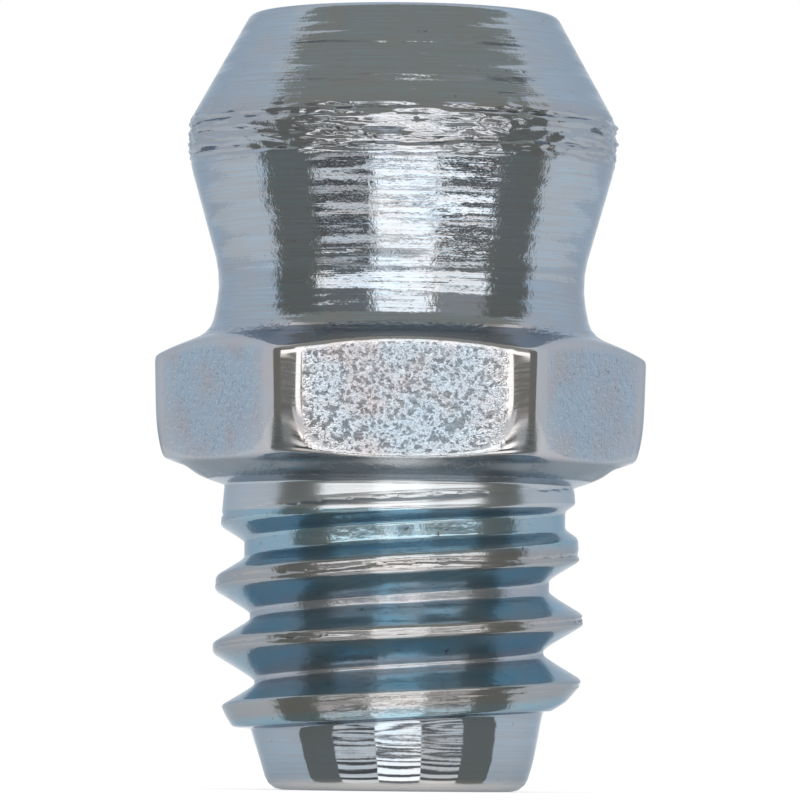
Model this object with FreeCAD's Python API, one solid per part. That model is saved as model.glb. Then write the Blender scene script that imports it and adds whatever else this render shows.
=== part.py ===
import FreeCAD, Part
import math
import os

from FreeCAD import Vector

# Straight grease nipple: cone head, spanner hexagon, rolled taper thread and ball valve.
# Millimetres. The axis is Z, the threaded tip stands on z = 0 and the head points up.

# Check ball and its seat
ball_r = 1.25
ball_side_gap = 0.15
seat_half_angle = 45.0
seat_land = 0.034
seat_gap = 0.02
inlet_wall = 0.35
inlet_chamfer = 0.12

# Compression spring
wire_r = 0.15
wire_sides = 8
spring_side_gap = 0.2
spring_end_gap = 0.02
spring_pitch = 1.5
closed_turns = 1.0
closed_coil_gap = 0.02

# Shank, from the tip up to the hexagon
shank_length = 4.68
tip_r = 1.93
tip_round = 0.2
pilot_length = 0.82
pilot_half_angle = 17.0
lead_half_angle = 45.0
lead_round = 0.09
crest_tip_r = 2.81
crest_collar_r = 2.66
collar_length = 0.28

# Lip rolled in at the tip, which holds the spring
lip_thickness = 0.38
lip_cover = 0.1
lip_slope = 12.0
lip_chamfer = 0.12

# Rolled right-hand thread
thread_pitch = 1.0
thread_depth = 0.71
thread_crest_width = 0.15
thread_root_width = 0.14
thread_root_taper = 4.3
thread_runout = 0.89
thread_start_turn = 0.75

# Hexagon, rising from its seat face to the foot of the neck
hex_across_flats = 6.63
hex_height = 2.24
hex_corner_round = 0.35
hex_draft = 1.9
hex_seat_r = 3.05
hex_under_angle = 30.5
hex_top_angle = 23.0

# Head, which the coupler of a grease gun grips
neck_r = 2.73
neck_length = 0.72
neck_flare_angle = 10.4
neck_foot_round = 0.3
neck_waist_round = 1.0
grip_half_angle = 14.9
grip_blend = 2.0
head_r = 3.25
head_band_length = 0.45
nose_length = 1.7
nose_half_angle = 29.0
nose_blend = 0.15
nose_rim_round = 0.1

# Radii that follow from the pieces they hold
bore_r = ball_r + ball_side_gap
inlet_r = ball_r * math.cos(math.radians(seat_half_angle)) - seat_land
spring_r = bore_r - spring_side_gap - wire_r
lip_opening_r = spring_r - lip_cover

# Levels along the axis
thread_end_z = shank_length - collar_length
neck_z = shank_length + hex_height
waist_z = neck_z + neck_length
band_z = waist_z + (head_r - neck_r) / math.tan(math.radians(grip_half_angle))
nose_z = band_z + head_band_length
top_z = nose_z + nose_length


def tan(degrees):
    return math.tan(math.radians(degrees))


def point_at(radius, height, turns=0.0):
    """A point at this radius and height, turned round the axis by a number of turns."""
    angle = 2 * math.pi * turns
    return Vector(radius * math.cos(angle), radius * math.sin(angle), height)


def outline(corners):
    """A closed wire in the XZ plane through corners given as radius, height and rounding."""
    edges = []
    last_end = None
    first_start = None
    for index, (radius, height, rounding) in enumerate(corners):
        before = corners[index - 1]
        after = corners[(index + 1) % len(corners)]
        corner = point_at(radius, height)
        back = point_at(before[0], before[1]) - corner
        on = point_at(after[0], after[1]) - corner
        start = finish = corner
        if rounding > 0:
            half_angle = back.getAngle(on) / 2
            reach = min(rounding / math.tan(half_angle), 0.45 * back.Length, 0.45 * on.Length)
            back.normalize()
            on.normalize()
            start = corner + back * reach
            finish = corner + on * reach
            inward = (back + on).normalize()
            to_arc = reach / math.cos(half_angle) - reach * math.tan(half_angle)
            arc = Part.Arc(start, corner + inward * to_arc, finish).toShape()
        if last_end is not None:
            edges.append(Part.LineSegment(last_end, start).toShape())
        if rounding > 0:
            edges.append(arc)
        first_start = first_start or start
        last_end = finish
    edges.append(Part.LineSegment(last_end, first_start).toShape())
    return Part.Wire(edges)


def turned(corners):
    """A solid turned about the axis."""
    return Part.Face(outline(corners)).revolve(Vector(0, 0, 0), Vector(0, 0, 1), 360)


def swept(path, corners):
    """A closed section carried upright along a smooth curve through the path's points."""
    curve = Part.BSplineCurve()
    curve.interpolate(path)
    sweep = Part.BRepOffsetAPI.MakePipeShell(Part.Wire(curve.toShape()))
    sweep.setBiNormalMode(Vector(0, 0, 1))
    sweep.add(Part.makePolygon(corners + corners[:1]), False, False)
    sweep.build()
    sweep.makeSolid()
    return sweep.shape()


def thread_root_r(height):
    """Root radius at this height: a slow taper, then a run-out to clear the collar."""
    slope = tan(thread_root_taper)
    taper_r = crest_tip_r - thread_depth + (height - pilot_length) * slope
    end_r = crest_tip_r - thread_depth + (thread_end_z - pilot_length) * slope
    runout_rise = crest_collar_r - end_r + thread_root_width / 2
    runout = max(0.0, 1 - (thread_end_z - height) / thread_runout)
    lead_in = max(0.0, 1 - 2 * (height - pilot_length) / thread_pitch)
    return taper_r + runout_rise * runout**2 + thread_root_width / 2 * lead_in


def thread_groove():
    """The helical space between the thread's ridges, a vee with a narrow flat root."""
    turns = (thread_end_z - pilot_length) / thread_pitch
    steps = math.ceil(turns * 12)
    path = []
    for step in range(steps + 1):
        turned_by = turns * step / steps
        height = pilot_length + turned_by * thread_pitch
        path.append(point_at(thread_root_r(height), height, thread_start_turn + turned_by))

    start_r = thread_root_r(pilot_length)
    root_z = thread_root_width / 2
    crest_z = (thread_pitch - thread_crest_width) / 2
    mouth_x = thread_depth + root_z / 2
    mouth_z = root_z + (crest_z - root_z) * mouth_x / thread_depth
    corners = []
    for outward, upward in ((0, -root_z), (0, root_z), (mouth_x, mouth_z), (mouth_x, -mouth_z)):
        height = pilot_length + upward
        corners.append(point_at(start_r + outward, height, thread_start_turn))
    return swept(path, corners)


def threaded_shank():
    """Coned pilot, lead chamfer and threaded length, running up inside the hexagon."""
    pilot_r = tip_r + pilot_length * tan(pilot_half_angle)
    lead_z = pilot_length + (crest_tip_r - pilot_r) / tan(lead_half_angle)
    inside_hex_z = shank_length + hex_height / 2
    blank = turned(
        [
            (0, 0, 0),
            (tip_r, 0, tip_round),
            (pilot_r, pilot_length, 0),
            (crest_tip_r, lead_z, lead_round),
            (crest_collar_r, shank_length, 0),
            (crest_collar_r, inside_hex_z, 0),
            (0, inside_hex_z, 0),
        ]
    )
    return blank.cut(thread_groove())


def hexagon_wire(across_flats, height):
    """A hexagon with rounded corners and one flat towards -Y."""
    flat_r = across_flats / 2
    centre_r = (flat_r - hex_corner_round) / math.cos(math.pi / 6)
    edges = []
    last_end = None
    for corner in range(7):
        turns = corner / 6
        centre = point_at(centre_r, height, turns)
        start = centre + point_at(hex_corner_round, 0, turns - 1 / 12)
        middle = centre + point_at(hex_corner_round, 0, turns)
        finish = centre + point_at(hex_corner_round, 0, turns + 1 / 12)
        if last_end is not None:
            edges.append(Part.LineSegment(last_end, start).toShape())
        if corner < 6:
            edges.append(Part.Arc(start, middle, finish).toShape())
        last_end = finish
    return Part.Wire(edges)


def turned_head():
    """The upper blank before its flats are cut: hexagon cones, neck, grip and nose."""
    corner_r = hex_across_flats / math.sqrt(3)
    foot_r = neck_r + neck_length * tan(neck_flare_angle)
    rim_r = head_r - nose_length * tan(nose_half_angle)
    return turned(
        [
            (0, shank_length, 0),
            (hex_seat_r, shank_length, 0),
            (corner_r, shank_length + (corner_r - hex_seat_r) * tan(hex_under_angle), 0),
            (corner_r, neck_z - (corner_r - foot_r) * tan(hex_top_angle), 0),
            (foot_r, neck_z, neck_foot_round),
            (neck_r, waist_z, neck_waist_round),
            (head_r, band_z, grip_blend),
            (head_r, nose_z, nose_blend),
            (rim_r, top_z, nose_rim_round),
            (0, top_z, 0),
        ]
    )


def flats_waste():
    """The stock round the hexagon, which is a prism drafted towards its seat."""
    narrowing = 2 * hex_height * tan(hex_draft)
    seat_wire = hexagon_wire(hex_across_flats - narrowing, shank_length)
    top_wire = hexagon_wire(hex_across_flats, neck_z)
    prism = Part.makeLoft([seat_wire, top_wire], True, True)
    stock = Part.makeCylinder(hex_across_flats, hex_height, Vector(0, 0, shank_length))
    return stock.cut(prism)


def seat_levels():
    """Heights of the seat cone's foot, its inlet end and the seated ball's centre."""
    inlet_z = top_z - inlet_wall
    foot_z = inlet_z - (bore_r - inlet_r) / tan(seat_half_angle)
    slope = math.radians(seat_half_angle)
    drop = (ball_r + seat_gap - inlet_r * math.cos(slope)) / math.sin(slope)
    return foot_z, inlet_z, inlet_z - drop


def passage():
    """Everything drilled out: lip opening, spring bore, ball seat and inlet."""
    foot_z, inlet_z, _ = seat_levels()
    beyond = bore_r
    return turned(
        [
            (0, -beyond, 0),
            (lip_opening_r + lip_chamfer + beyond, -beyond, 0),
            (lip_opening_r, lip_chamfer, 0),
            (lip_opening_r, lip_thickness, 0),
            (bore_r, lip_thickness + (bore_r - lip_opening_r) * tan(lip_slope), 0),
            (bore_r, foot_z, 0),
            (inlet_r, inlet_z, 0),
            (inlet_r, top_z - inlet_chamfer, 0),
            (inlet_r + inlet_chamfer + beyond, top_z + beyond, 0),
            (0, top_z + beyond, 0),
        ]
    )


def nipple_body():
    upper = turned_head().cut(flats_waste())
    return threaded_shank().fuse(upper).cut(passage()).removeSplitter()


def check_ball():
    ball_z = seat_levels()[2]
    return Part.makeSphere(ball_r, Vector(0, 0, ball_z))


def check_spring():
    """Coiled wire with closed ends, from the lip up to the underside of the ball."""
    lip_rise = (spring_r - lip_opening_r) * tan(lip_slope)
    lip_reach = (wire_r + spring_end_gap) / math.cos(math.radians(lip_slope))
    foot_z = lip_thickness + lip_rise + lip_reach
    ball_reach = ball_r + wire_r + spring_end_gap
    head_z = seat_levels()[2] - math.sqrt(ball_reach**2 - spring_r**2)
    closed_pitch = 2 * wire_r + closed_coil_gap
    open_length = head_z - foot_z - 2 * closed_turns * closed_pitch
    open_turns = open_length / spring_pitch
    turns = open_turns + 2 * closed_turns

    steps = math.ceil(turns * 12)
    path = []
    for step in range(steps + 1):
        turned_by = turns * step / steps
        low = min(turned_by, closed_turns)
        high = max(0.0, turned_by - closed_turns - open_turns)
        middle = turned_by - low - high
        height = foot_z + (low + high) * closed_pitch + middle * spring_pitch
        path.append(point_at(spring_r, height, turned_by))

    corners = []
    for side in range(wire_sides):
        around = 2 * math.pi * (side + 0.5) / wire_sides
        outward = wire_r * math.cos(around)
        corners.append(point_at(spring_r + outward, foot_z + wire_r * math.sin(around)))
    return swept(path, corners)


os.makedirs("parts", exist_ok=True)
nipple_body().exportStep("parts/nipple_body.step")
check_ball().exportStep("parts/check_ball.step")
check_spring().exportStep("parts/check_spring.step")
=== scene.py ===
import math

import bmesh
import bpy
from mathutils import Matrix, Vector, noise


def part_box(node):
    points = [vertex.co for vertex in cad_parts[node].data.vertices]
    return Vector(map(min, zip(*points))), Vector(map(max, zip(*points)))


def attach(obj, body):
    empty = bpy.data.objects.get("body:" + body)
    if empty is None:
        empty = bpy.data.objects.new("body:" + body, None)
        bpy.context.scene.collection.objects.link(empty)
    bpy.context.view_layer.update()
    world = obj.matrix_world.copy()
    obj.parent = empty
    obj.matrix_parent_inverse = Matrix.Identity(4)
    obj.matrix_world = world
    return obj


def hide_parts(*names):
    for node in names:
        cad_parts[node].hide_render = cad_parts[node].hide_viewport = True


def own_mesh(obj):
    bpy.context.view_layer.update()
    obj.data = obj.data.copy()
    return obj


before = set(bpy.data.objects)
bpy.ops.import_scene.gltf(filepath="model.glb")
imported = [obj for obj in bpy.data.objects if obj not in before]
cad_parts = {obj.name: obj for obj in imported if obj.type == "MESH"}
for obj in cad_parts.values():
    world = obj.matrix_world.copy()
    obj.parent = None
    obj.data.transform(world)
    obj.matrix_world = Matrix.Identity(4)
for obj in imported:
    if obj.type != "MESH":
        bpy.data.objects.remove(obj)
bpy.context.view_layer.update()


# The nipple body: one piece of zinc-plated steel, turned from hexagon bar.
# The shank's thread is rolled, which leaves folded crests and a run-out below the collar.
# The bore holds the spring and the ball, and the tip is rolled inwards to keep them there.
MM = 0.001
columns = 264

# how much closer together the columns stand at the hexagon's corners
corner_gather = 0.55

# radius and height of each corner in mm, and how far its rounding reaches
body_outline = [
    (1.07, 0.0, 0),
    (1.93, 0.0, 0.2),
    (2.21, 0.91, 0.03),
    (2.49, 0.94, 0.05),
    (2.6, 1.12, 0.05),
    (2.767, 1.5, 0.1),
    (2.813, 2.45, 0.3),
    (2.762, 3.2, 0.3),
    (2.645, 4.6, 0.03),
    (2.86, 4.67, 0.05),
    (3.05, 4.75, 0.05),
    (3.25, 4.89, 0.05),
    (3.58, 5.0, 0.06),
    (3.66, 5.15, 0.06),
    (3.83, 5.6, 0.2),
    (3.83, 6.51, 0.07),
    (2.88, 6.904, 0.2),
    (2.72, 7.7, 0.35),
    (3.235, 9.52, 0.22),
    (3.235, 10.1, 0.12),
    (2.319, 11.744, 0.09),
    (0.97, 11.744, 0.04),
    (0.85, 11.624, 0.04),
    (0.85, 11.394, 0.03),
    (1.4, 10.844, 0.03),
    (1.4, 0.476, 0.03),
    (0.95, 0.38, 0.03),
    (0.95, 0.12, 0.03),
]
bore_clear_r = 1.45
bore_row_spacing = 4.0

# outer rows are this far apart, in mm, up to the height given
row_spacings = [
    (0.88, 0.12),
    (4.6, 0.026),
    (5.3, 0.045),
    (6.3, 0.15),
    (6.95, 0.036),
    (7.45, 0.06),
    (9.35, 0.15),
    (10.35, 0.026),
    (12, 0.15),
]


def row_spacing(radius, height):
    if radius < bore_clear_r:
        return bore_row_spacing
    return next(spacing for up_to, spacing in row_spacings if height < up_to)


def turned_blank():
    """The outline with its corners rounded and its rows divided, spun once round the axis."""
    mesh = bmesh.new()
    points = [mesh.verts.new((radius * MM, 0, height * MM)) for radius, height, _ in body_outline]
    for pair in zip(points, points[1:] + points[:1]):
        mesh.edges.new(pair)
    for point, (_, _, reach) in zip(points, body_outline):
        if reach:
            bmesh.ops.bevel(
                mesh, geom=[point], offset=reach * MM, offset_type="OFFSET",
                affect="VERTICES", segments=3, profile=0.5, material=-1,
            )
    for edge in list(mesh.edges):
        middle = (edge.verts[0].co + edge.verts[1].co) / (2 * MM)
        cuts = math.ceil(edge.calc_length() / MM / row_spacing(middle.x, middle.z)) - 1
        if cuts > 0:
            bmesh.ops.subdivide_edges(mesh, edges=[edge], cuts=cuts)
    bmesh.ops.spin(
        mesh, geom=mesh.verts[:] + mesh.edges[:], cent=(0, 0, 0), axis=(0, 0, 1),
        angle=math.tau, steps=columns, use_merge=True,
    )
    return mesh


# heights in mm between which the thread, the hexagon and the torn band lie
thread_low_z = 0.45
thread_high_z = 4.6
hexagon_low_z = 4.68
hexagon_high_z = 6.95
band_low_z = 9.4


def ramp(value, start, full):
    """Goes from 0 to 1 as the value goes from start to full, and no further either way."""
    return min(1, max(0, (value - start) / (full - start)))


def blended_low(first, second, blend):
    """The lower of two values with a smooth step between them, and how far they blend."""
    overlap = max(blend - abs(first - second), 0) / blend
    return min(first, second) - overlap**2 * blend / 4, overlap


def hexagon_r(angle, height):
    """Distance from the axis to the side of the drafted hexagon, and the next flat's share in it."""
    sharpness = 34
    top_z = 6.92
    top_apothem = 3.315
    draft = math.radians(1.9)
    apothem = top_apothem - (top_z - height) * math.tan(draft)
    from_flat = abs((angle % (math.pi / 3)) - math.pi / 6)
    this_flat = math.cos(from_flat) ** sharpness
    next_flat = math.cos(math.pi / 3 - from_flat) ** sharpness
    both_flats = this_flat + next_flat
    return apothem / both_flats ** (1 / sharpness), next_flat / both_flats


def thread_groove(angle, height):
    """The groove's radius here, how far its centre is along the axis, and that centre's height."""
    pitch = 1.0
    first_groove_z = 0.863
    turn_offset = 0.75
    across = (height - first_groove_z + turn_offset - angle / math.tau + pitch / 2) % pitch - pitch / 2
    groove_z = height - across
    root_r = 2.102 + 0.0776 * (groove_z - 0.82)
    runout_start = 3.36
    root_r += 0.28 * max(0, groove_z - runout_start) ** 2
    lead_end = 1.35
    root_r += 0.35 * max(0, lead_end - groove_z)
    root_flat = 0.02 + 0.09 * ramp(groove_z, 2.4, 3.6)
    root_rounding = 0.05
    flank = math.hypot(max(abs(across) - root_flat, 0), root_rounding) - root_rounding
    if across < 0:
        flank *= ramp(groove_z, 1.2, 1.55)
    flank_slope = 1.7
    return root_r + flank_slope * flank, across, groove_z


def lead_lift(angle, height):
    """How far the step under the first crest climbs, since it follows the helix and not a circle."""
    full_lift = 0.3
    share = ramp(height, thread_low_z, 0.85) * ramp(height, 1.75, 1.13)
    return full_lift * share * (0.5 + 0.5 * math.cos(angle))


def thread_lead_z(angle):
    """Height of the step under the first crest."""
    step_z = 0.93
    return step_z + lead_lift(angle, step_z)


def crest_seam(angle, across, groove_z):
    """Depth of the fold that rolling leaves along the middle of a crest."""
    deepest = 0.035
    width = 0.045
    from_middle = abs(across) - 0.5
    fold = 0.55 + 1.2 * noise.noise((math.cos(angle) * 1.6, math.sin(angle) * 1.6, groove_z * 1.3))
    return deepest * ramp(fold, 0, 1) * ramp(groove_z, 1.6, 2.6) * math.exp(-((from_middle / width) ** 2))


def band_tearing(angle, height):
    """Torn ridges round the widest band, where the turning tool dragged the steel."""
    ridge_height = 0.045
    chip_height = 0.03
    across = math.cos(angle)
    along = math.sin(angle)
    ridge = noise.noise((across * 2.4, along * 2.4, height * 16))
    chip = noise.noise((across * 13, along * 13, height * 14))
    fade = ramp(height, band_low_z, 9.55) * ramp(height, 10.32, 10.2)
    return fade * (ridge_height * ridge + chip_height * chip)


def turning_depth(height):
    """How deep the turning marks are at this height, against those on the grip taper."""
    levels = [
        (0.95, 1.0), (1.1, 0.3), (7.0, 0.3), (7.6, 1.0),
        (10.0, 1.0), (10.3, 0.9), (11.6, 0.9), (11.7, 0.3),
    ]
    for (low, low_depth), (high, high_depth) in zip(levels, levels[1:]):
        if height < high:
            return low_depth + (high_depth - low_depth) * ramp(height, low, high)
    return levels[-1][1]


def shape_body(mesh):
    """Cuts the hexagon and rolls the thread, and marks where the finish wears, dulls or changes and where
    painted shade and light go.
    """
    wear = mesh.verts.layers.float.new("edge_wear")
    crest = mesh.verts.layers.float.new("thread_crest")
    root = mesh.verts.layers.float.new("thread_root")
    turning = mesh.verts.layers.float.new("turning_depth")
    torn = mesh.verts.layers.float.new("torn_band")
    tip = mesh.verts.layers.float.new("rolled_tip_painted_light")
    seat_shade = mesh.verts.layers.float.new("seat_cone_painted_shade")
    collar_painted_highlight = mesh.verts.layers.float.new("collar_painted_highlight")
    pilot_clear_r = 1.95
    collar_clear_r = 2.9
    for point in mesh.verts:
        radius = math.hypot(point.co.x, point.co.y) / MM
        height = point.co.z / MM
        angle = math.atan2(point.co.y, point.co.x) % math.tau
        angle -= corner_gather * math.sin(6 * angle) / 6
        if radius > pilot_clear_r and thread_low_z < height < thread_high_z:
            height += lead_lift(angle, height)
            point.co.z = height * MM
            groove_r, across, groove_z = thread_groove(angle, height)
            crest_r = radius - crest_seam(angle, across, groove_z)
            radius, _ = blended_low(groove_r, crest_r, 0.06)
            crest_end = ramp(height, 4.15, 3.85) * ramp(height, 0.95, 1.1)
            point[crest] = ramp(abs(across), 0.3, 0.42) * crest_end
            point[root] = ramp(abs(across), 0.144, 0.054) * ramp(groove_z, 3.7, 3.2) * (groove_r < crest_r)
        elif radius > collar_clear_r and hexagon_low_z < height < hexagon_high_z:
            side_r, corner_share = hexagon_r(angle, height)
            point[wear] = max(blended_low(radius, side_r, 0.4)[1], ramp(corner_share, 0, 0.025))
            radius, blend = blended_low(radius, side_r, 0.2)
            # painted shade: the hexagon's downward-facing seat cone and its low corners get a dark tint
            # through this mask
            shaded_low_corner = min(1, 1.5 * blend) * ramp(corner_share, 0.05, 0.2) * ramp(height, 5.75, 5.25)
            point[seat_shade] = max(shaded_low_corner, ramp(height, 4.97, 4.91))
        elif height > band_low_z:
            radius += band_tearing(angle, height)
            point[torn] = ramp(height, band_low_z, 9.55) * ramp(height, 10.35, 10.2)
        point[turning] = turning_depth(height)
        # partly painted light: the tip's downward-facing rounding gets a paler tint that lifts it out of
        # the floor shadow it reflects, and partly a duller rolled finish
        point[tip] = ramp(height, 0.2, 0.1)
        # painted highlight: the collar below the hexagon gets a paler, brighter tint through this mask,
        # and a duller finish
        point[collar_painted_highlight] = ramp(height, 4.1, 4.2) * (height < 4.72)
        point.co.x = radius * MM * math.cos(angle)
        point.co.y = radius * MM * math.sin(angle)


def finished_object(name, mesh, smooth_under=40):
    """An object from a bmesh, merged, with its faces outwards and its sharp edges kept."""
    bmesh.ops.remove_doubles(mesh, verts=mesh.verts[:], dist=0.001 * MM)
    bmesh.ops.recalc_face_normals(mesh, faces=mesh.faces[:])
    data = bpy.data.meshes.new(name)
    mesh.to_mesh(data)
    mesh.free()
    data.shade_smooth()
    data.set_sharp_from_angle(angle=math.radians(smooth_under))
    made = bpy.data.objects.new(name, data)
    bpy.context.scene.collection.objects.link(made)
    return made


body_mesh = turned_blank()
shape_body(body_mesh)
nipple = finished_object("nipple_shell", body_mesh)


def add_node(tree, kind, *links, **settings):
    """Adds a shader node. Each link is an input's name or number, and a value or a socket."""
    made = tree.nodes.new("ShaderNode" + kind)
    for name, value in settings.items():
        setattr(made, name, value)
    for name, value in links:
        if isinstance(value, bpy.types.NodeSocket):
            tree.links.new(value, made.inputs[name])
        else:
            made.inputs[name].default_value = value
    return made


def mixed(tree, factor, base, other):
    """One colour laid over another by a factor."""
    mix = add_node(tree, "Mix", ("Factor", factor), ("A", base), ("B", other), data_type="RGBA")
    return mix.outputs["Result"]


def calculated(tree, operation, *values):
    """The output of a Math node on sockets or numbers."""
    return add_node(tree, "Math", *enumerate(values), operation=operation).outputs[0]


def ranged(tree, value, *limits):
    """A value mapped from one range to another."""
    return add_node(tree, "MapRange", ("Value", value), *limits).outputs[0]


def new_material(name):
    """A material, its node tree, its shader and its object coordinates in millimetres."""
    made = bpy.data.materials.new(name)
    made.use_nodes = True
    tree = made.node_tree
    shader = tree.nodes["Principled BSDF"]
    coords = add_node(tree, "TexCoord").outputs["Object"]
    in_mm = add_node(tree, "VectorMath", (0, coords), ("Scale", 1 / MM), operation="SCALE")
    return made, tree, shader, in_mm.outputs["Vector"]


def new_group(name, inputs, outputs):
    """A node group with these inputs and outputs, and the sockets inside it for both."""
    tree = bpy.data.node_groups.new(name, "ShaderNodeTree")
    for label, kind, value in inputs:
        socket = tree.interface.new_socket(label, in_out="INPUT", socket_type="NodeSocket" + kind)
        if value is not None:
            socket.default_value = value
    for label in outputs:
        tree.interface.new_socket(label, in_out="OUTPUT", socket_type="NodeSocketFloat")
    given = tree.nodes.new("NodeGroupInput").outputs
    result = tree.nodes.new("NodeGroupOutput").inputs
    return tree, given, result


def turning_marks_group():
    """Rings left by the turning tool: its feed marks, the chatter in them, and fine lines."""
    tree, given, result = new_group(
        "turning_marks",
        [("Position", "Vector", None), ("Around", "Float", 0.7), ("Along", "Float", 9.0)],
        ["Height", "Streaks"],
    )
    split = add_node(tree, "SeparateXYZ", (0, given["Position"])).outputs
    flat = add_node(tree, "CombineXYZ", ("X", split["X"]), ("Y", split["Y"])).outputs[0]
    outward = add_node(tree, "VectorMath", (0, flat), operation="NORMALIZE").outputs[0]
    around = add_node(tree, "VectorMath", (0, outward), ("Scale", given["Around"]), operation="SCALE")
    radius = add_node(tree, "VectorMath", (0, flat), operation="LENGTH").outputs["Value"]
    profile = calculated(tree, "MULTIPLY_ADD", radius, -0.8, split["Z"])
    rise = calculated(tree, "MULTIPLY", profile, given["Along"])
    lift = add_node(tree, "CombineXYZ", ("Z", rise)).outputs[0]
    place = add_node(tree, "VectorMath", (0, around.outputs[0]), (1, lift), operation="ADD").outputs[0]
    feed = add_node(
        tree, "TexNoise", ("Vector", place), ("Scale", 1.0), ("Detail", 0.6), ("Roughness", 0.5)
    ).outputs[0]
    marks = []
    for stretch in ((8.0, 8.0, 1.3), (3.0, 3.0, 10.0)):
        stretched = add_node(tree, "VectorMath", (0, place), (1, stretch), operation="MULTIPLY")
        mark = ("Vector", stretched.outputs[0])
        marks.append(add_node(tree, "TexNoise", mark, ("Scale", 1.0), ("Detail", 1.0)).outputs[0])
    chatter, fine_lines = marks
    height = calculated(tree, "SUBTRACT", feed, 0.5)
    for mark, share in ((chatter, 0.16), (fine_lines, 0.02)):
        centred = calculated(tree, "SUBTRACT", mark, 0.5)
        height = calculated(tree, "MULTIPLY_ADD", centred, share, height)
    streaks = ranged(tree, fine_lines, ("From Min", 0.35), ("From Max", 0.65))
    tree.links.new(height, result["Height"])
    tree.links.new(streaks, result["Streaks"])
    return tree


def pitting_group():
    """Small pits, dull freckles and dents of the plating, and broad soft patches."""
    tree, given, result = new_group(
        "plating_pits",
        [
            ("Position", "Vector", None), ("Scale", "Float", 9.0),
            ("Freckled", "Float", 0.33), ("Dented", "Float", 0.0),
        ],
        ["Pits", "Patches", "Height"],
    )
    place = ("Vector", given["Position"])
    freckle = add_node(
        tree, "TexNoise", place, ("Scale", given["Scale"]), ("Detail", 3.0), ("Roughness", 0.6)
    ).outputs[0]
    deepest = calculated(tree, "SUBTRACT", given["Freckled"], 0.06)
    pits = ranged(tree, freckle, ("From Min", given["Freckled"]), ("From Max", deepest))
    patch = add_node(tree, "TexNoise", place, ("Scale", 1.4), ("Detail", 3.0)).outputs[0]
    patches = ranged(tree, patch, ("From Min", 0.4), ("From Max", 0.66))
    knock = add_node(
        tree, "TexNoise", place, ("Scale", 10.0), ("Detail", 2.0), ("Roughness", 0.6)
    ).outputs[0]
    dent = ranged(tree, knock, ("From Min", 0.46), ("From Max", 0.64))
    height = calculated(tree, "MULTIPLY_ADD", dent, given["Dented"], freckle)
    tree.links.new(pits, result["Pits"])
    tree.links.new(patches, result["Patches"])
    tree.links.new(height, result["Height"])
    return tree


turning_marks = turning_marks_group()
plating_pits = pitting_group()


def zinc_material(name, plating, patch, streak, pit, streak_share, roughness, marks, pits, bands):
    """Bright zinc plating over steel, with turning marks, pits and soft patches of colour.

    plating, patch, streak and pit are colours.
    marks says how the turning marks run around and along, and how deep they are in mm.
    pits says how fine the pits are, how many, how deep in mm, and how strong the dents are.
    Each band is a mask kept on the mesh, its share, its colour and how much duller it is.
    """
    made, tree, shader, place = new_material(name)
    rings = add_node(tree, "Group", node_tree=turning_marks)
    tree.links.new(place, rings.inputs["Position"])
    rings.inputs["Around"].default_value = marks["around"]
    rings.inputs["Along"].default_value = marks["along"]
    spots = add_node(tree, "Group", node_tree=plating_pits)
    tree.links.new(place, spots.inputs["Position"])
    spots.inputs["Scale"].default_value = pits["scale"]
    spots.inputs["Freckled"].default_value = pits["freckled"]
    spots.inputs["Dented"].default_value = pits["dented"]
    streaked = calculated(tree, "MULTIPLY", rings.outputs["Streaks"], streak_share)
    finish_colour = mixed(tree, spots.outputs["Patches"], (*plating, 1), (*patch, 1))
    finish_colour = mixed(tree, streaked, finish_colour, (*streak, 1))
    finish_colour = mixed(tree, spots.outputs["Pits"], finish_colour, (*pit, 1))
    dullness = ranged(
        tree, rings.outputs["Streaks"], ("To Min", roughness * 0.8), ("To Max", roughness * 1.3)
    )
    for attribute, share, band_colour, duller in bands:
        mask = add_node(tree, "Attribute", attribute_name=attribute).outputs["Fac"]
        partly = calculated(tree, "MULTIPLY", mask, share)
        finish_colour = mixed(tree, partly, finish_colour, (*band_colour, 1))
        dullness = calculated(tree, "MULTIPLY_ADD", mask, duller, dullness)
    deep = add_node(tree, "Attribute", attribute_name="turning_depth").outputs["Fac"]
    cut = calculated(tree, "MULTIPLY", rings.outputs["Height"], deep)
    ring_bump = add_node(
        tree, "Bump", ("Strength", 1.0), ("Distance", marks["depth"] * MM), ("Height", cut)
    )
    worn = add_node(tree, "Attribute", attribute_name="edge_wear").outputs["Fac"]
    unworn = calculated(tree, "SUBTRACT", 1.0, worn)
    pitted = calculated(tree, "MULTIPLY", spots.outputs["Height"], unworn)
    pit_bump = add_node(
        tree, "Bump", ("Strength", 1.0), ("Distance", pits["depth"] * MM), ("Height", pitted),
        ("Normal", ring_bump.outputs[0]),
    )
    tree.links.new(finish_colour, shader.inputs["Base Color"])
    tree.links.new(dullness, shader.inputs["Roughness"])
    tree.links.new(pit_bump.outputs[0], shader.inputs["Normal"])
    shader.inputs["Metallic"].default_value = 0.88
    shader.inputs["Specular Tint"].default_value = (0.6, 0.66, 0.72, 1)
    return made


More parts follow.
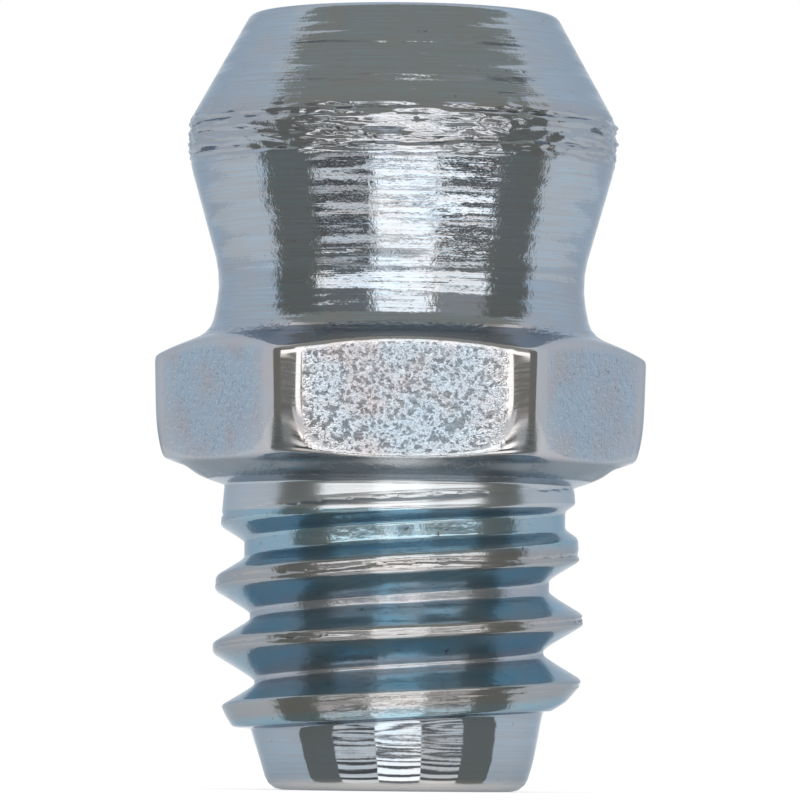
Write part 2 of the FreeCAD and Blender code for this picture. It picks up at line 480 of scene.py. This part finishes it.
blue_zinc = (0.335, 0.42, 0.505)
turned_zinc = zinc_material(
    "turned_zinc",
    plating=blue_zinc,
    patch=(0.35, 0.4, 0.45),
    streak=(0.34, 0.33, 0.34),
    pit=(0.12, 0.13, 0.13),
    streak_share=0.5,
    roughness=0.08,
    marks={"around": 0.7, "along": 4.3, "depth": 0.07},
    pits={"scale": 13.0, "freckled": 0.3, "depth": 0.004, "dented": 0.0},
    bands=[("torn_band", 0.4, (0.34, 0.335, 0.345), 0.03)],
)
shank_zinc = zinc_material(
    "shank_zinc",
    plating=blue_zinc,
    patch=(0.35, 0.4, 0.45),
    streak=(0.34, 0.33, 0.34),
    pit=(0.12, 0.13, 0.13),
    streak_share=0.4,
    roughness=0.07,
    marks={"around": 0.35, "along": 7.0, "depth": 0.012},
    pits={"scale": 13.0, "freckled": 0.3, "depth": 0.0006, "dented": 0.0},
    bands=[
        # the rolled tip: a duller rolled finish, and a paler tint that is painted light on its
        # downward-facing rounding
        ("rolled_tip_painted_light", 0.9, (0.6, 0.59, 0.58), 0.25),
        # painted highlight: a paler, less blue tint that brightens the collar, with a duller finish
        ("collar_painted_highlight", 0.5, (0.5, 0.53, 0.55), 0.13),
    ],
)
hexagon_zinc = zinc_material(
    "hexagon_zinc",
    plating=blue_zinc,
    patch=(0.37, 0.375, 0.41),
    streak=(0.36, 0.4, 0.45),
    pit=(0.25, 0.265, 0.3),
    streak_share=0.2,
    roughness=0.15,
    marks={"around": 3.0, "along": 3.0, "depth": 0.001},
    pits={"scale": 8.0, "freckled": 0.35, "depth": 0.004, "dented": 1.8},
    bands=[
        ("edge_wear", 0.7, (0.5, 0.485, 0.49), -0.07),
        # painted shade: a dark tint on the hexagon's downward-facing underside, with a duller finish there
        ("seat_cone_painted_shade", 0.7, (0.16, 0.2, 0.23), 0.2),
    ],
)
thread_zinc = zinc_material(
    "thread_zinc",
    plating=(0.3, 0.405, 0.475),
    patch=(0.23, 0.41, 0.52),
    streak=(0.34, 0.38, 0.41),
    pit=(0.14, 0.14, 0.13),
    streak_share=0.3,
    roughness=0.15,
    marks={"around": 0.8, "along": 6.0, "depth": 0.03},
    pits={"scale": 8.0, "freckled": 0.34, "depth": 0.005, "dented": 0.0},
    bands=[
        ("thread_crest", 0.8, (0.36, 0.345, 0.345), 0.0),
        ("thread_root", 0.6, (0.4, 0.38, 0.41), 0.06),
    ],
)
hexagon_finish_z = 6.93
crests_end_z = 4.2

# the turned finish comes first, so it stays on every face that gets no other
hexagon_index, thread_index, shank_index = 1, 2, 3
for finish in (turned_zinc, hexagon_zinc, thread_zinc, shank_zinc):
    nipple.data.materials.append(finish)
for face in nipple.data.polygons:
    centre = face.center / MM
    if math.hypot(centre.x, centre.y) > bore_clear_r:
        if hexagon_low_z < centre.z < hexagon_finish_z:
            face.material_index = hexagon_index
        elif thread_lead_z(math.atan2(centre.y, centre.x)) < centre.z <= crests_end_z:
            face.material_index = thread_index
        elif centre.z <= hexagon_low_z:
            face.material_index = shank_index
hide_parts("nipple_body")
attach(nipple, "nipple")


# The check ball: a hardened steel ball, ground and polished all over.
# It shuts the inlet from inside, held up in its seat by the spring.
ball_lowest, ball_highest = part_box("check_ball")
ball_centre = (ball_lowest + ball_highest) / 2
ball_mesh = bmesh.new()
bmesh.ops.create_uvsphere(
    ball_mesh, u_segments=72, v_segments=36, radius=ball_highest.z - ball_centre.z,
    matrix=Matrix.Translation(ball_centre),
)
ball = finished_object("valve_ball", ball_mesh)
polished, ball_tree, ball_shader, ball_place = new_material("polished_ball")
scratches = add_node(
    ball_tree, "TexNoise", ("Vector", ball_place), ("Scale", 5.0), ("Detail", 4.0), ("Distortion", 2.5)
).outputs[0]
lapping = add_node(
    ball_tree, "TexWave", ("Vector", ball_place), ("Scale", 9.0), ("Distortion", 6.0), ("Detail", 3.0),
    bands_direction="DIAGONAL",
)
film = ranged(ball_tree, scratches, ("From Min", 0.42), ("From Max", 0.62))
ball_colour = mixed(ball_tree, film, (0.63, 0.64, 0.65, 1), (0.575, 0.575, 0.565, 1))
ball_dullness = ranged(ball_tree, scratches, ("To Min", 0.05), ("To Max", 0.13))
lapping_depth = 0.0004 * MM
ball_bump = add_node(
    ball_tree, "Bump", ("Strength", 1.0), ("Distance", lapping_depth), ("Height", lapping.outputs["Fac"])
)
ball_tree.links.new(ball_colour, ball_shader.inputs["Base Color"])
ball_tree.links.new(ball_dullness, ball_shader.inputs["Roughness"])
ball_tree.links.new(ball_bump.outputs[0], ball_shader.inputs["Normal"])
ball_shader.inputs["Metallic"].default_value = 1.0
ball.data.materials.append(polished)
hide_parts("check_ball")
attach(ball, "ball")


# The check spring: drawn wire wound into a coil whose end turns lie closed.
# It stands on the rolled lip and presses the ball into its seat.
spring_lowest, spring_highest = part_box("check_spring")
wire_r = 0.15 * MM
coil_r = 1.05 * MM
closed_pitch = 0.32 * MM
open_turns = 5.57
steps_per_turn = 48
wire_sides = 16
foot_z = spring_lowest.z + wire_r
head_z = spring_highest.z - wire_r
open_rise = head_z - foot_z - 2 * closed_pitch
spring_mesh = bmesh.new()
ring = bmesh.ops.create_circle(
    spring_mesh, segments=wire_sides, radius=wire_r,
    matrix=Matrix.Translation((coil_r, 0, foot_z)) @ Matrix.Rotation(math.pi / 2, 4, "X"),
)["verts"]
section = ring + list({edge for point in ring for edge in point.link_edges})
for turns, rise in ((1, closed_pitch), (open_turns, open_rise), (1, closed_pitch)):
    steps = round(turns * steps_per_turn)
    wound = bmesh.ops.spin(
        spring_mesh, geom=section, cent=(0, 0, 0), axis=(0, 0, 1),
        dvec=(0, 0, rise / steps), angle=turns * math.tau, steps=steps, use_merge=False,
    )
    section = wound["geom_last"]
bmesh.ops.holes_fill(spring_mesh, edges=spring_mesh.edges[:], sides=wire_sides)
spring = finished_object("valve_spring", spring_mesh)
drawn, spring_tree, spring_shader, spring_place = new_material("drawn_wire")
wire_run = add_node(
    spring_tree, "VectorMath", (0, spring_place), (1, (1.0, 1.0, 12.0)), operation="MULTIPLY"
)
die_lines = add_node(
    spring_tree, "TexNoise", ("Vector", wire_run.outputs[0]), ("Scale", 3.0), ("Detail", 3.0),
    ("Roughness", 0.6),
).outputs[0]
stain = add_node(
    spring_tree, "TexNoise", ("Vector", spring_place), ("Scale", 2.2), ("Detail", 3.0)
).outputs[0]
stained = ranged(spring_tree, stain, ("From Min", 0.45), ("From Max", 0.65))
wire_colour = mixed(spring_tree, stained, (0.42, 0.42, 0.41, 1), (0.24, 0.21, 0.18, 1))
wire_dullness = ranged(spring_tree, die_lines, ("To Min", 0.2), ("To Max", 0.45))
die_line_depth = 0.003 * MM
wire_bump = add_node(
    spring_tree, "Bump", ("Strength", 1.0), ("Distance", die_line_depth), ("Height", die_lines)
)
spring_tree.links.new(wire_colour, spring_shader.inputs["Base Color"])
spring_tree.links.new(wire_dullness, spring_shader.inputs["Roughness"])
spring_tree.links.new(wire_bump.outputs[0], spring_shader.inputs["Normal"])
spring_shader.inputs["Metallic"].default_value = 1.0
spring.data.materials.append(drawn)
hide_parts("check_spring")
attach(spring, "nipple")
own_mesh(spring)


# The studio: a plain pale floor under a white surround, with three soft lamps.
# Bright and dark cards, seen only by the metal, give it the reflections of a light tent.
# The camera stands low in front of the part and looks slightly up at it.
floor_paper = bpy.data.materials.new("floor_paper")
floor_paper.use_nodes = True
floor_tree = floor_paper.node_tree
floor_shader = floor_tree.nodes["Principled BSDF"]
floor_shader.inputs["Base Color"].default_value = (0.8, 0.8, 0.8, 1)
floor_shader.inputs["Roughness"].default_value = 0.9
floor_shader.inputs["Specular IOR Level"].default_value = 0.0
floor_shader.inputs["Emission Color"].default_value = (1, 1, 1, 1)
floor_glow = 0.45
mirrored_floor_glow = 0.38
floor_paths = add_node(floor_tree, "LightPath").outputs
mirrored_glow = calculated(floor_tree, "MULTIPLY", floor_paths["Is Glossy Ray"], mirrored_floor_glow)
paper_glow = calculated(
    floor_tree, "MULTIPLY_ADD", floor_paths["Is Camera Ray"], floor_glow, mirrored_glow
)
floor_tree.links.new(paper_glow, floor_shader.inputs["Emission Strength"])
floor_mesh = bmesh.new()
bmesh.ops.create_grid(floor_mesh, x_segments=1, y_segments=1, size=3.0)
floor = finished_object("studio_floor", floor_mesh)
floor.data.materials.append(floor_paper)

world = bpy.data.worlds.new("studio")
bpy.context.scene.world = world
world.use_nodes = True
world_tree = world.node_tree
background = world_tree.nodes["Background"]
background.inputs["Color"].default_value = (1, 1, 1, 1)
world_paths = add_node(world_tree, "LightPath").outputs
seen = world_paths["Is Camera Ray"]
mirrored = world_paths["Is Glossy Ray"]
through_glass = world_paths["Is Transmission Ray"]
seen_or_mirrored = calculated(world_tree, "MAXIMUM", seen, mirrored)
sees_white = calculated(world_tree, "MAXIMUM", seen_or_mirrored, through_glass)
surround = ranged(world_tree, sees_white, ("To Min", 0.7), ("To Max", 1.0))
world_tree.links.new(surround, background.inputs["Strength"])


def lit_card(name, corners, colour, strength):
    """A flat card that the metal reflects and the camera doesn't see. Its corners are in mm."""
    mesh = bmesh.new()
    mesh.faces.new([mesh.verts.new(Vector(corner) * MM) for corner in corners])
    card = finished_object(name, mesh)
    material = bpy.data.materials.new(name)
    material.use_nodes = True
    tree = material.node_tree
    tree.nodes.clear()
    glow = add_node(tree, "Emission", ("Color", (*colour, 1)), ("Strength", strength))
    out = tree.nodes.new("ShaderNodeOutputMaterial")
    tree.links.new(glow.outputs[0], out.inputs["Surface"])
    card.data.materials.append(material)
    card.visible_camera = False
    card.visible_diffuse = False
    card.visible_shadow = False


def floor_point(way, distance, height):
    """A point on the floor that the tip reflects this way, in degrees from the front."""
    tip_r = 2.0
    near = math.radians(way / 2)
    far = math.radians(way)
    x = tip_r * math.sin(near) + distance * math.sin(far)
    y = -tip_r * math.cos(near) - distance * math.cos(far)
    return x, y, height


def floor_fan(way_from, way_to, start, reach, height=0.004):
    """The corners of a card on the floor, between two ways that the tip reflects."""
    return [
        floor_point(way_from, start, height),
        floor_point(way_from, reach, height),
        floor_point(way_to, reach, height),
        floor_point(way_to, start, height),
    ]


def wall(way_from, way_to, distance, low, high):
    """The corners of an upright card, between two ways in degrees from the front."""
    corners = []
    for way, height in ((way_from, low), (way_to, low), (way_to, high), (way_from, high)):
        x = distance * math.sin(math.radians(way))
        y = -distance * math.cos(math.radians(way))
        corners.append((x, y, height))
    return corners


key_tint = (1, 0.94, 0.88)
dark_tint = (1, 0.97, 0.82)
pale_tint = (0.96, 1, 1.05)

# the ways, in degrees from the front, at which one column of cards ends and the next begins
key_end = 18.6
low_key_end = 11
half_end = 54
dark_end = 86
back = 180

wall_distance = 110
key_distance = 111
low_wall_top = 10
wall_top = 90

# stripes on the floor: where each starts and ends in mm from the tip, and how bright it is
key_stripes = [
    (0, 2.6, 0.15), (2.6, 6, 2.4), (6, 9.5, 0.15), (9.5, 14.8, 3.0), (14.8, 17, 0.2), (17, 30, 2.9),
    (30, 50, 1.3),
]
half_stripes = [
    (0, 2.7, 0.12), (2.7, 4, 0.22), (4, 8, 1.8), (8, 12.5, 0.1), (12.5, 17, 2.4), (17, 26, 0.1),
    (26, 40, 1.8), (40, 110, 0.3),
]

# edges of the narrow rows that the tip reflects, which lie just above the stripes
row_height = 0.005
row_edges = [0.1 * number * (1 + 0.06 * number) for number in range(16)]

for number, (start, reach, level) in enumerate(key_stripes):
    lit_card(f"key_floor_{number}", floor_fan(-key_end, key_end, start, reach), key_tint, level)
key_wall_low = wall(-low_key_end, low_key_end, key_distance, 0, low_wall_top)
lit_card("key_wall_low", key_wall_low, key_tint, 2.6)
for low, high, level in ((low_wall_top, 40, 2.9), (40, 50, 0.5), (50, wall_top, 2.6)):
    lit_card(f"key_wall_{low}", wall(-key_end, key_end, key_distance, low, high), key_tint, level)
lit_card("camera_dim", wall(-6, 6, 52, 0, 8.5), key_tint, 0.4)
lit_card("pale_wall_left", wall(-dark_end, -back, wall_distance, 0, wall_top), pale_tint, 0.92)
lit_card("pale_wall_right", wall(dark_end, back, wall_distance, 0, wall_top), pale_tint, 0.92)
for start, reach in zip(row_edges[1::2], row_edges[2::2]):
    row = floor_fan(-key_end, key_end, start - 0.02, reach + 0.02, row_height)
    lit_card(f"key_row_{start:.1f}", row, key_tint, 2.9)
half_wall_top = 36
for label, side, share in (("left", -1, 0.65), ("right", 1, 1.25)):
    key_side = side * key_end
    half_side = side * half_end
    dark_side = side * dark_end
    for start, reach in zip(row_edges[0::2], row_edges[1::2]):
        row = floor_fan(key_side, half_side, start, reach, row_height)
        lit_card(f"{label}_row_{start:.1f}", row, key_tint, 1.4)
    for number, (start, reach, level) in enumerate(half_stripes):
        stripe = floor_fan(key_side, half_side, start, reach)
        lit_card(f"half_floor_{label}_{number}", stripe, key_tint, level * share)
    half_low = wall(side * low_key_end, half_side, wall_distance, 0, low_wall_top)
    half_middle = wall(key_side, half_side, wall_distance, low_wall_top, half_wall_top)
    half_high = wall(key_side, half_side, wall_distance, half_wall_top, wall_top)
    dark_floor = floor_fan(half_side, dark_side, 0, wall_distance)
    dark_wall = wall(half_side, dark_side, wall_distance, 0, wall_top)
    lit_card("half_wall_low_" + label, half_low, dark_tint, 0.22)
    lit_card("half_wall_" + label, half_middle, key_tint, 2.4)
    lit_card("half_wall_high_" + label, half_high, key_tint, 0.4 * share)
    lit_card("dark_floor_" + label, dark_floor, dark_tint, 0.23)
    lit_card("dark_wall_" + label, dark_wall, dark_tint, 0.2)
top_corners = [(-110, -112, 90), (110, -112, 90), (110, 18, 110), (-110, 18, 110)]
lit_card("dark_top", top_corners, dark_tint, 0.41)

lamp_size = 0.4
part_middle = Vector((0, 0, 0.006))
for name, place, power in (
    ("soft_key", Vector((-0.25, -0.45, 0.5)), 0.7),
    ("soft_fill", Vector((0.4, -0.3, 0.35)), 0.4),
    ("soft_back", Vector((0.1, 0.5, 0.45)), 0.4),
):
    lamp = bpy.data.lights.new(name, "AREA")
    lamp.size = lamp_size
    lamp.energy = power
    placed = bpy.data.objects.new(name, lamp)
    placed.location = place
    placed.rotation_euler = (part_middle - place).to_track_quat("-Z", "Y").to_euler()
    placed.visible_glossy = False
    bpy.context.scene.collection.objects.link(placed)

scene = bpy.context.scene
scene.view_settings.view_transform = "Standard"

camera_distance = 119.0
camera_height = 0.714
camera_aside = -0.0045
camera_turn = math.radians(1.3)
camera_pitch = math.radians(2.5)
camera_roll = math.radians(0.6)
focal_pixels = 7867
image_pixels = 800
lens = bpy.data.cameras.new("photo_camera")
lens.sensor_width = 36.0
lens.lens = lens.sensor_width * focal_pixels / image_pixels
lens.clip_start = 0.005
lens.clip_end = 10.0
camera = bpy.data.objects.new("photo_camera", lens)
turned = Matrix.Rotation(-camera_turn, 4, "Z")
moved = Matrix.Translation((camera_aside * MM, -camera_distance * MM, camera_height * MM))
aimed = Matrix.Rotation(math.pi / 2 + camera_pitch, 4, "X") @ Matrix.Rotation(camera_roll, 4, "Z")
camera.matrix_world = turned @ moved @ aimed
scene.collection.objects.link(camera)
scene.camera = camera
